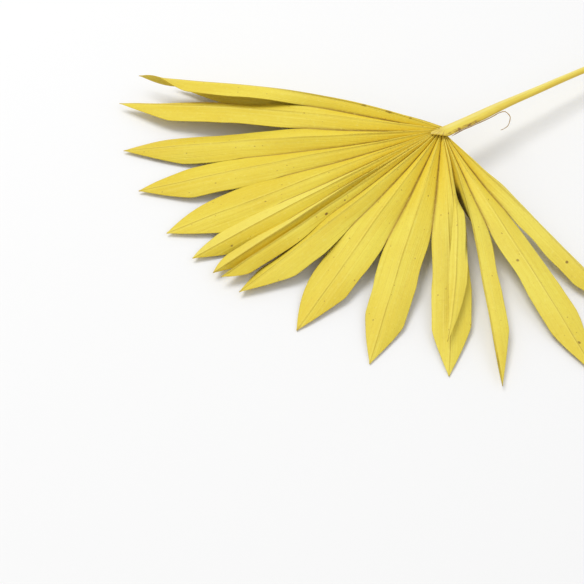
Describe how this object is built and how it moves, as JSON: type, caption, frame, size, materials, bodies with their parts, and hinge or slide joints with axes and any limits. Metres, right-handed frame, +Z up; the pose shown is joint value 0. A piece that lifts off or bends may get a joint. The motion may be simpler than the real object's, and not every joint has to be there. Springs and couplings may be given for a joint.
{
  "type": "fan palm leaf",
  "caption": "Dried, dyed fan palm leaf with pleated fingers trimmed to points and a cut stalk, lying flat as a decorative fan.",
  "frame": {"origin": "on the surface the leaf rests on, under the middle of the leaf's bounding box", "axes": "+X along the stalk, from the blade to the stalk's cut end; +Z up, away from the surface"},
  "size_m": [0.5538, 0.4462, 0.0387],
  "materials": {
    "blade": "dyed yellow, dry, satin, fine lengthwise veins",
    "petiole": "dyed yellow, smooth, satin, lengthwise grain",
    "fibre": "brown, dry, matte"
  },
  "bodies": {
    "root": {"blade": "blade", "petiole": "petiole", "fibre": "fibre"}
  },
  "joints": []
}
